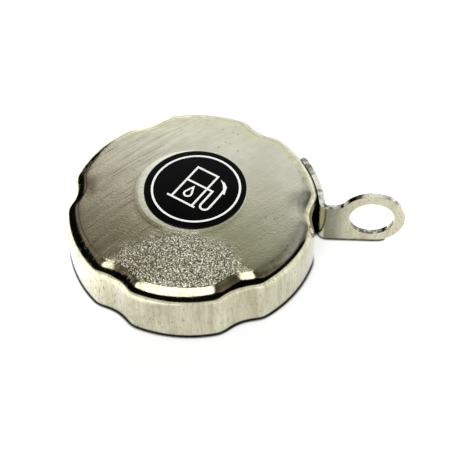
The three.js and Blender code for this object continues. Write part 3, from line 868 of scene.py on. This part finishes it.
def strap_columns():
    """[point, outward normal, distance from the welded end] along the middle of the strip."""
    middle_r = STRAP_IN_R + STRAP_T / 2
    end = math.radians(STRAP_END_DEG)
    length = middle_r * (end - BEND_ANGLE)
    corner = [STRAP_CORNER_R * (1 - math.cos(math.pi / 2 * i / 8)) for i in range(8)]
    rest = [lerp(STRAP_CORNER_R, length, i / 26) for i in range(27)]
    columns = []
    for s in corner + rest:
        turn = end - s / middle_r
        out = Vector((math.cos(turn), math.sin(turn)))
        columns.append((out * middle_r, out, s))
    bend_steps = 12
    for i in range(1, bend_steps + 1):
        turn = lerp(BEND_ANGLE + math.pi, 1.5 * math.pi, i / bend_steps)
        away = Vector((math.cos(turn), math.sin(turn)))
        point = Vector((BEND_X, BEND_Y)) + away * (BEND_R + STRAP_T / 2)
        columns.append((point, -away, length))
    columns.append((Vector((JOIN_X, EYE_FACE_Y + STRAP_T / 2)), Vector((0, 1)), length))
    return columns


def plate_outline():
    """[x, z] points round the eye's flat plate, clockwise from the join's top."""
    corner_z = STRAP_H + EYE_NECK_R
    corner_x = EYE_X - math.sqrt((EYE_OUT_R + EYE_NECK_R) ** 2 - (corner_z - EYE_Z) ** 2)
    meet = math.atan2(EYE_Z - corner_z, EYE_X - corner_x)
    outline = arc((corner_x, corner_z), EYE_NECK_R, -math.pi / 2, meet, 10)
    outline += arc((EYE_X, EYE_Z), EYE_OUT_R, meet + math.pi, -math.pi / 2, 72)[1:]
    outline += [(lerp(EYE_X, JOIN_X, i / 10), 0) for i in range(1, 10)]
    outline += [(JOIN_X, STRAP_H * i / BAND_ROWS) for i in range(BAND_ROWS)]
    outline.append((JOIN_X, STRAP_H))
    return outline


def grid_faces(start, columns, stride, closed):
    """Faces between neighbouring columns of points, from point number start."""
    faces = []
    for c in range(columns if closed else columns - 1):
        n = (c + 1) % columns
        for i in range(stride - 1):
            a, b = start + c * stride + i, start + n * stride + i
            faces.append((a, a + 1, b + 1, b))
    return faces


def strap_sheet(points, faces, offset):
    """Adds one face of the strip. Returns the numbers of its rim's points and of its hole's."""
    start, stride = len(points), BAND_ROWS + 1
    columns = strap_columns()
    for point, out, s in columns:
        near = max(0.0, STRAP_CORNER_R - s)
        inset = STRAP_CORNER_R - math.sqrt(STRAP_CORNER_R**2 - near**2)
        where = point + out * offset
        for i in range(stride):
            points.append((where.x, where.y, lerp(inset, STRAP_H - inset, i / BAND_ROWS)))
    faces += grid_faces(start, len(columns), stride, False)
    plate_start, plate_stride = len(points), PLATE_LAYERS + 1
    outline = plate_outline()
    y = EYE_FACE_Y + STRAP_T / 2 + offset
    for x, z in outline:
        toward = math.atan2(z - EYE_Z, x - EYE_X)
        hole_x = EYE_X + EYE_HOLE_R * math.cos(toward)
        hole_z = EYE_Z + EYE_HOLE_R * math.sin(toward)
        for k in range(plate_stride):
            points.append((lerp(hole_x, x, k / PLATE_LAYERS), y, lerp(hole_z, z, k / PLATE_LAYERS)))
    faces += grid_faces(plate_start, len(outline), plate_stride, True)
    bottom = [start + c * stride for c in range(len(columns))]
    top = [number + BAND_ROWS for number in bottom]
    hole = [plate_start + i * plate_stride for i in range(len(outline))]
    plate_rim = [number + PLATE_LAYERS for number in hole[:-BAND_ROWS]]
    welded_end = [start + i for i in range(1, BAND_ROWS)]
    return top + plate_rim + bottom[::-1] + welded_end, hole


def eye_strap():
    points, faces = [], []
    outer = strap_sheet(points, faces, STRAP_T / 2)
    inner = strap_sheet(points, faces, -STRAP_T / 2)
    for one, other in zip(outer, inner):
        for i in range(len(one)):
            n = (i + 1) % len(one)
            faces.append((one[i], one[n], other[n], other[i]))
    return soften_edges(make_piece("eye_strip", points, faces), 0.22, segments=3)


fit(eye_strap(), "cap", "shell_steel", "eye_strap", look="eye_steel")

# ---- Hub, claws and ceiling plate ----

rivet_places = round_circle(3, CLAW_RIVET_CIRCLE, 90)
vent_places = round_circle(3, CLAW_RIVET_CIRCLE, 30)
hub_rivet_places = round_circle(4, HUB_RIVET_CIRCLE, 45)


def claw_rivet_profile(grow=0.0):
    sink_r, shank_r = 2.6 + grow, RIVET_R + grow
    profile = [(0, 0), (sink_r, 0), (shank_r, 1.1), (shank_r, HUB_FLOOR_Z)]
    if grow:
        return [(0, -0.5), (sink_r, -0.5), *profile[1:], (0, HUB_FLOOR_Z)]
    return profile + [(1.9, HUB_FLOOR_Z), (1.5, HUB_FLOOR_Z + 0.6), (0, HUB_FLOOR_Z + 0.6)]


def cut_claw_holes(piece):
    def sink():
        return revolve("bit", claw_rivet_profile(PLAY), segments=32, edge=0)

    return drill(cut_out(piece, rivet_places, sink), 1.2, vent_places)


def claw_plate():
    tip = math.asin(CLAW_HALF_W / CLAW_R)
    root = math.asin(CLAW_HALF_W / CLAW_DISC_R)
    outline = []
    for side in (0, math.pi):
        outline += arc((0, 0), CLAW_R, side - tip, side + tip, 20)
        outline += arc((0, 0), CLAW_DISC_R, side + root, side + math.pi - root, 24)
    blank = prism("claws", outline, 0, CLAW_T)
    return soften_edges(cut_claw_holes(blank), 0.15)


def hub():
    groove_r = HUB_R - 0.7
    circlip_z = VALVE_COVER_Z + 1
    profile = [
        (0, CLAW_T),
        (HUB_R, CLAW_T),
        (HUB_R, SEAL_PLATE_Z - 1.1),
        (groove_r, SEAL_PLATE_Z - 1.1),
        (groove_r, SEAL_PLATE_Z + 0.1),
        (HUB_R, SEAL_PLATE_Z + 0.1),
        (HUB_R, HUB_FLANGE_Z),
        (HUB_FLANGE_R, HUB_FLANGE_Z),
        (HUB_FLANGE_R, CEILING_Z),
        (HUB_BORE_R, CEILING_Z),
        (HUB_BORE_R, circlip_z + 1),
        (HUB_BORE_R + 0.6, circlip_z + 1),
        (HUB_BORE_R + 0.6, circlip_z),
        (HUB_BORE_R, circlip_z),
        (HUB_BORE_R, HUB_SEAT_Z),
        (HUB_CHAMBER_R, HUB_SEAT_Z),
        (HUB_CHAMBER_R, HUB_FLOOR_Z),
        (0, HUB_FLOOR_Z),
    ]
    body = cut_claw_holes(revolve("turned_hub", profile, segments=96, edge=0.1))
    return drill(body, RIVET_R + PLAY, hub_rivet_places)


def hub_rivet(name, place):
    head_r, head_h, top = 2.7, 1.1, CEILING_Z + SHEET
    under = arc((0, HUB_FLANGE_Z), 1, -math.pi / 2, 0, 8)
    over = arc((0, top), 1, 0, math.pi / 2, 8)
    profile = [(x * head_r, HUB_FLANGE_Z + (z - HUB_FLANGE_Z) * head_h) for x, z in under]
    profile += [(RIVET_R, HUB_FLANGE_Z), (RIVET_R, top)]
    profile += [(x * head_r, top + (z - top) * head_h) for x, z in over]
    return move(revolve(name, profile, segments=32, edge=0), *place)


def ceiling_plate():
    rim_in = CEILING_FLAT_R + CEILING_RISER

    def rim_top(r):
        return dome_z(r, SHEET) - CEILING_GAP

    profile = [
        (CEILING_HOLE_R, CEILING_Z),
        (CEILING_FLAT_R, CEILING_Z),
        (rim_in, rim_top(rim_in) - SHEET),
        (CEILING_RIM_R, rim_top(CEILING_RIM_R) - SHEET),
        (CEILING_RIM_R, rim_top(CEILING_RIM_R)),
        (rim_in, rim_top(rim_in)),
        (CEILING_FLAT_R - 0.6, CEILING_Z + SHEET),
        (CEILING_HOLE_R, CEILING_Z + SHEET),
    ]
    dish = revolve("ceiling_pressing", profile, edge=0.3)
    drill(dish, 2, round_circle(4, VENT_HOLES_R))
    return drill(dish, RIVET_R + PLAY, hub_rivet_places)


fit(claw_plate(), "cap", "inner_steel", "claw_plate")
fit(hub(), "cap", "hub_aluminium", "hub_body")
fit(ceiling_plate(), "cap", "inner_steel", "ceiling_plate")
for number, (x, y) in enumerate(rivet_places, 1):
    rivet = revolve(f"claw_pin_{number}", claw_rivet_profile(), segments=32, edge=0.08)
    fit(move(rivet, x, y), "cap", "inner_steel", f"claw_rivet_{number}")
for number, place in enumerate(hub_rivet_places, 1):
    fit(hub_rivet(f"hub_pin_{number}", place), "cap", "inner_steel", f"hub_rivet_{number}")


def snap_ring(name, inner_r, outer_r, z, thickness):
    gap = math.radians(16)
    outline = arc((0, 0), outer_r, gap, 2 * math.pi - gap, 64)
    outline += arc((0, 0), inner_r, 2 * math.pi - gap, gap, 64)
    return soften_edges(prism(name, outline, z, thickness), 0.12)


stop = snap_ring("stop_clip", HUB_R - 0.5, HUB_R + 2, SEAL_PLATE_Z - 1, 1)
fit(stop, "cap", "spring_steel", "stop_ring")
circlip = snap_ring("valve_clip", 6.9, HUB_BORE_R + 0.4, VALVE_COVER_Z + 1.1, 0.8)
fit(circlip, "cap", "spring_steel", "valve_circlip")

# ---- Seal ----


def lipped_ring(name, inner_r, outer_r, z, thickness, lip_z):
    """A flat ring with a lip at its inner edge that stands up, or hangs down, to lip_z."""
    lip_r = inner_r + thickness
    top = z + thickness
    if lip_z > z:
        lip = [(lip_r, top), (lip_r, lip_z), (inner_r, lip_z)]
        profile = [(inner_r, z), (outer_r, z), (outer_r, top), *lip]
    else:
        lip = [(inner_r, lip_z), (lip_r, lip_z), (lip_r, z)]
        profile = [*lip, (outer_r, z), (outer_r, top), (inner_r, top)]
    return revolve(name, profile, edge=0.15)


lip_r = MAIN_SPRING_R - MAIN_WIRE / 2 - RUN
seat_z = CEILING_Z - SPRING_SEAT_T
seat = lipped_ring("spring_cup", lip_r - SPRING_SEAT_T, 28.4, seat_z, SPRING_SEAT_T, seat_z - 1.5)
fit(seat, "cap", "inner_steel", "spring_seat")
thrust = lipped_ring(
    "thrust_ring", lip_r - THRUST_T, 29.5, SEAL_PLATE_TOP, THRUST_T, THRUST_TOP + 1.3
)
fit(thrust, "seal_carrier", "inner_steel", "thrust_washer")

rim_r = SEAL_PLATE_R - 0.8
seal_profile = [
    (HUB_R + RUN, SEAL_PLATE_Z),
    (rim_r, SEAL_PLATE_Z),
    (rim_r, SEAL_PLATE_Z - 1.2),
    (SEAL_PLATE_R, SEAL_PLATE_Z - 1.2),
    (SEAL_PLATE_R, SEAL_PLATE_TOP - 0.5),
    (SEAL_PLATE_R - 0.5, SEAL_PLATE_TOP),
    (HUB_R + RUN, SEAL_PLATE_TOP),
]
fit(revolve("seal_pressing", seal_profile, segments=128, edge=0.3), "seal", "inner_steel", "seal_plate")
rubber_ring = washer(
    "gasket_ring", GASKET_IN_R, GASKET_OUT_R, SEAL_PLATE_Z - GASKET_T, GASKET_T, edge=0.35, segments=128
)
fit(rubber_ring, "seal", "rubber", "gasket")
keep_r = GASKET_IN_R - 0.2
keeper_profile = [
    (keep_r - 5, SEAL_PLATE_Z - 0.6),
    (keep_r - 0.6, SEAL_PLATE_Z - 0.6),
    (keep_r - 0.6, SEAL_PLATE_Z - 1.4),
    (keep_r, SEAL_PLATE_Z - 1.4),
    (keep_r, SEAL_PLATE_Z),
    (keep_r - 5, SEAL_PLATE_Z),
]
fit(revolve("gasket_keeper", keeper_profile), "seal", "inner_steel", "gasket_retainer")
oring_r = HUB_R + RUN + 0.05 + ORING_WIRE_R
oring_profile = arc((oring_r, SEAL_PLATE_TOP + ORING_WIRE_R + 0.1), ORING_WIRE_R, 0, 2 * math.pi, 24)
fit(revolve("sealing_ring", oring_profile[:-1], edge=0), "seal", "rubber", "hub_oring")
cup_r = HUB_R + 2.4
roof_z = SEAL_PLATE_TOP + 2 * ORING_WIRE_R + 0.3
cup_profile = [
    (cup_r, SEAL_PLATE_TOP),
    (cup_r + 0.8, SEAL_PLATE_TOP),
    (cup_r + 0.8, roof_z + 0.8),
    (HUB_R + RUN, roof_z + 0.8),
    (HUB_R + RUN, roof_z),
    (cup_r, roof_z),
]
fit(revolve("ring_cup", cup_profile, edge=0.15), "seal", "inner_steel", "oring_cup")

# ---- Vent valve ----

cover = washer("valve_lid", 2, HUB_BORE_R - 0.15, VALVE_COVER_Z, 1)
fit(drill(cover, 1, round_circle(4, 4.6, 45)), "cap", "brass", "valve_cover")
filter_disc = disc("sinter_disc", 10.8, CEILING_Z + SHEET, 1, edge=0.15)
fit(filter_disc, "cap", "sintered_bronze", "vent_filter")
relief_face = washer("relief_rubber", 2.4, RELIEF_R, HUB_SEAT_Z, RELIEF_SEAL_T, edge=0.15)
fit(relief_face, "relief_valve", "rubber", "relief_seal")
relief_plate = washer("relief_plate", 1.8, RELIEF_R, HUB_SEAT_Z + RELIEF_SEAL_T, 1)
fit(relief_plate, "relief_valve", "brass", "relief_disc")
poppet_profile = [
    (0, HUB_SEAT_Z - POPPET_HEAD_T),
    (POPPET_HEAD_R - 0.4, HUB_SEAT_Z - POPPET_HEAD_T),
    (POPPET_HEAD_R, HUB_SEAT_Z - POPPET_HEAD_T + 0.4),
    (POPPET_HEAD_R, HUB_SEAT_Z),
    (POPPET_STEM_R, HUB_SEAT_Z),
    (POPPET_STEM_R, VACUUM_CLIP_Z),
    (POPPET_STEM_R - 0.3, VACUUM_CLIP_Z),
    (POPPET_STEM_R - 0.3, VACUUM_CLIP_Z + 0.6),
    (POPPET_STEM_R, VACUUM_CLIP_Z + 0.6),
    (POPPET_STEM_R, POPPET_TOP),
    (0, POPPET_TOP),
]
poppet = revolve("poppet_valve", poppet_profile, segments=48, edge=0.06)
fit(poppet, "vacuum_valve", "brass", "vacuum_poppet")
clip = washer("poppet_clip", 0.75, 3.2, VACUUM_CLIP_Z, 0.6, segments=48)
fit(clip, "vacuum_valve", "spring_steel", "vacuum_clip")

# ---- Springs, each between the two bodies it pushes apart ----

# Piece, node, body at the top, body at the bottom, radius, wire, bottom, top and turns.
SPRINGS = [
    ("seal_coil", "main_spring", "cap", "seal_carrier",
     MAIN_SPRING_R, MAIN_WIRE, THRUST_TOP, seat_z, 2.75),
    ("relief_coil", "relief_spring", "cap", "relief_valve",
     6.4, 0.8, RELIEF_TOP, VALVE_COVER_Z, 3.75),
    ("vacuum_coil", "vacuum_spring", "vacuum_valve", "relief_valve",
     2.3, 0.4, RELIEF_TOP, VACUUM_CLIP_Z, 3.5),
]
for name, node, top_body, low_body, radius, wire, low, high, turns in SPRINGS:
    coil = spring(name, radius, wire, low, high, turns)
    fit(coil, None, "spring_steel", node)
    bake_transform(coil)

# ---- Floor, light and camera ----

VIEW_DEG = 4.9  # the studio is turned by this much about the part's Z axis
FLOOR_R = 1600
FLOOR_Z = -0.02
FLOOR_GLOW = 0.86
FLOOR_GLOW_LEFT = 1.1  # how much brighter it gets at the left, and at the right
FLOOR_GLOW_RIGHT = 0.35
BLACK = (0.0, 0.0, 0.0, 1)


def floor_material():
    """Glows, so that shadows stay soft except right at the cap, and is clear from below."""
    tree = start_material("pale_floor")

    def openness(reach):
        inputs = {"Distance": reach * MM}
        return tree.add("ShaderNodeAmbientOcclusion", inputs, samples=12).outputs["AO"]

    contact = tree.step(openness(1.7), 0.5, 0.85)
    open_share = tree.times(contact, tree.step(openness(12), 0.3, 0.8, 0.9, 1.0))
    tone = tree.step(tree.noise(0.02), 0.3, 0.7)
    look = tree.mix(tone, (0.36, 0.36, 0.37, 1), (0.38, 0.38, 0.39, 1))
    # Painted pools of light: the floor glows brighter towards the left and the right.
    left = tree.step(tree.x, -15, -60, 0.0, FLOOR_GLOW_LEFT)
    right = tree.step(tree.x, 40, 80, 0.0, FLOOR_GLOW_RIGHT)
    strength = tree.plus(FLOOR_GLOW, tree.plus(left, right))
    glow = tree.mix(open_share, BLACK, (1.0, 1.0, 0.99, 1))
    inputs = {
        "Base Color": tree.mix(open_share, BLACK, look),
        "Roughness": 0.9,
        "Specular IOR Level": 0.0,
        "Emission Color": tree.mix(1.0, glow, strength, "MULTIPLY"),
        "Emission Strength": 1.0,
    }
    top = tree.add("ShaderNodeBsdfPrincipled", inputs).outputs[0]
    under = tree.add("ShaderNodeBsdfTransparent").outputs[0]
    below = tree.add("ShaderNodeNewGeometry").outputs["Backfacing"]
    either = tree.add("ShaderNodeMixShader", {0: below, 1: top, 2: under}).outputs[0]
    tree.links.new(either, tree.add("ShaderNodeOutputMaterial").inputs[0])
    return tree.owner


def pale_floor():
    rim = [(x, y, FLOOR_Z) for x, y in arc((0, 0), FLOOR_R, 0, 2 * math.pi, 96)[:-1]]
    floor = make_piece("floor", rim, [tuple(range(len(rim)))])
    if floor.data.polygons[0].normal.z < 0:
        floor.data.flip_normals()
    floor.data.materials.append(floor_material())


# Where the studio's dark flats stand: the direction round the cap in degrees, and the
# elevations that they start and end at.
DARK_FLATS = [
    (0, 6, 30), (10, 5, 27), (15, 17, 17), (109, 5, 5), (116, -10, 17),
    (128, -8, 23), (142, -3, 34), (157, 2, 44), (187, 7, 52), (202, 10, 56),
    (217, 15, 55), (232, 17, 60), (262, 17, 66), (292, 17, 72), (307, 18, 66),
    (322, 16, 54), (337, 14, 40), (352, 9, 34), (360, 6, 30),
]
# The pale wall: elevation, brightness, and how warm it is.
WALL = [
    (0, 1.05, 1.08), (14, 1.05, 1.10), (30, 1.0, 1.34), (40, 0.93, 1.32),
    (47, 0.84, 1.2), (55, 0.58, 1.1), (62, 0.40, 0.95), (72, 0.27, 0.85),
    (90, 0.25, 0.85),
]
SOFTBOX_AT = (-0.205, -0.293)  # its middle, sideways and back, for a height of one
SOFTBOX_HALF = (0.44, 0.33)
SOFTBOX_TURN = math.radians(14)
SOFTBOX_POWER = 2.4  # 2 would make it an oval, and more makes it squarer
HORIZON = 0.2  # added to elevations in the flats' ramps, which can't go below 0


def grey(tone):
    return (tone, tone, tone, 1)


def ramp(tree, share, stops):
    """Stops are (place, colour), both from 0 to 1."""
    node = tree.add("ShaderNodeValToRGB", {0: share})
    while len(node.color_ramp.elements) < len(stops):
        node.color_ramp.elements.new(0.5)
    for element, (position, colour) in zip(node.color_ramp.elements, stops):
        element.position = position
        element.color = colour
    return node.outputs[0]


def round_step(tree, turn, low_deg, high_deg, to_low=0.0, to_high=1.0):
    """A step between two directions round the cap. Turn is a share of a whole turn."""
    return tree.step(turn, low_deg / 360, high_deg / 360, to_low, to_high)


def dark_flats(tree, turn, height):
    """1 where the dark flats stand. Their tops are soft at the right and sharp elsewhere."""
    raised = tree.plus(height, HORIZON)
    lows = [(a / 360, grey(low / 90 + HORIZON)) for a, low, _ in DARK_FLATS]
    highs = [(a / 360, grey(high / 90 + HORIZON)) for a, _, high in DARK_FLATS]
    above = tree.step(tree.minus(raised, ramp(tree, turn, lows)), -0.02, 0.02)
    edge_in_front = round_step(tree, turn, 315, 345, 0.025, 0.12)
    edge_behind = round_step(tree, turn, 20, 60, 0.12, 0.025)
    edge = tree.math("MAXIMUM", edge_in_front, edge_behind)
    reach = tree.over(tree.minus(ramp(tree, turn, highs), raised), edge)
    return tree.times(above, tree.step(reach, -0.5, 0.5))


def pale_wall(tree, turn, height):
    """The wall's light: dimmer at the sides and warmer at the left, above its lowest part."""
    stops = [(h / 90, (t, t * 1.03, t * 0.86 * warm, 1)) for h, t, warm in WALL]
    wall = ramp(tree, height, stops)
    high_up = tree.step(height, 12 / 90, 22 / 90)
    left_dim = round_step(tree, turn, 98, 128, 1.0, 0.25)
    right_dim = round_step(tree, turn, 18, 70)
    low_right = tree.step(height, 30 / 90, 42 / 90, 0.2, 0.5)
    side = tree.times(left_dim, tree.math("MAXIMUM", right_dim, low_right))
    wall = tree.mix(1.0, wall, tree.mix(high_up, WHITE, side), "MULTIPLY")
    warmed = tree.mix(1.0, wall, (1.12, 0.97, 0.80, 1), "MULTIPLY")
    return tree.mix(tree.times(round_step(tree, turn, 98, 128), high_up), wall, warmed)


def softbox(tree, x, y, z):
    """1 inside a rounded box overhead, by where a ray meets a plane at a height of one."""
    up = tree.math("MAXIMUM", z, 0.05)
    across = tree.minus(tree.over(x, up), SOFTBOX_AT[0])
    back = tree.minus(tree.over(y, up), SOFTBOX_AT[1])
    cosine, sine = math.cos(SOFTBOX_TURN), math.sin(SOFTBOX_TURN)
    long_way = tree.plus(tree.times(across, cosine), tree.times(back, sine))
    short_way = tree.minus(tree.times(back, cosine), tree.times(across, sine))
    off = 0.0
    for way, half in zip((long_way, short_way), SOFTBOX_HALF):
        share = tree.math("ABSOLUTE", tree.over(way, half))
        off = tree.plus(off, tree.math("POWER", share, SOFTBOX_POWER))
    return tree.step(off, 0.82, 1.12, 1.0, 0.0)


def studio_world():
    """A softbox overhead, dark flats in front and at the left, and a pale wall behind."""
    world = bpy.data.worlds.new("studio")
    bpy.context.scene.world = world
    tree = Tree(world)
    ray = tree.add("ShaderNodeTexCoord").outputs["Generated"]
    inputs = {"Vector": ray, "Angle": math.radians(-VIEW_DEG)}
    spin = tree.add("ShaderNodeVectorRotate", inputs, rotation_type="Z_AXIS")
    x, y, z = tree.split(spin.outputs[0])
    height = tree.over(tree.math("ARCSINE", z), math.pi / 2)  # 0 at the horizon, 1 overhead
    turn = tree.over(tree.math("ARCTAN2", y, x), 2 * math.pi)
    turn = tree.math("FRACT", tree.plus(turn, 1.0))
    light = pale_wall(tree, turn, height)
    light = tree.mix(dark_flats(tree, turn, height), light, grey(0.003))
    light = tree.mix(softbox(tree, x, y, z), light, (2.4, 2.4, 2.3, 1))
    seen = tree.add("ShaderNodeLightPath").outputs["Is Camera Ray"]
    light = tree.mix(seen, light, grey(1.05))
    background = tree.add("ShaderNodeBackground", {"Color": light, "Strength": 1.0})
    output = tree.add("ShaderNodeOutputWorld")
    tree.links.new(background.outputs[0], output.inputs[0])


def add_camera():
    """Looks down on the cap from in front of it, a little rolled."""
    tilt = math.radians(49.74)
    roll = math.radians(-1.87)
    distance, shift_x, shift_y = 416, -11.49, -3.90
    right = Vector((1, 0, 0))
    up = Vector((0, math.sin(tilt), math.cos(tilt)))
    back = Vector((0, -math.cos(tilt), math.sin(tilt)))
    across = right * math.cos(roll) + up * math.sin(roll)
    upward = up * math.cos(roll) - right * math.sin(roll)
    eye = (back * distance - across * shift_x - upward * shift_y) * MM
    pose = Matrix((across, upward, back)).transposed().to_4x4()
    pose.translation = eye
    data = bpy.data.cameras.new("camera")
    data.sensor_width = 36
    data.lens = 90.88
    data.clip_start = 0.01
    camera = bpy.data.objects.new("camera", data)
    camera.matrix_world = Matrix.Rotation(math.radians(VIEW_DEG), 4, "Z") @ pose
    bpy.context.scene.collection.objects.link(camera)
    bpy.context.scene.camera = camera


pale_floor()
studio_world()
add_camera()
bpy.context.scene.view_settings.view_transform = "Standard"
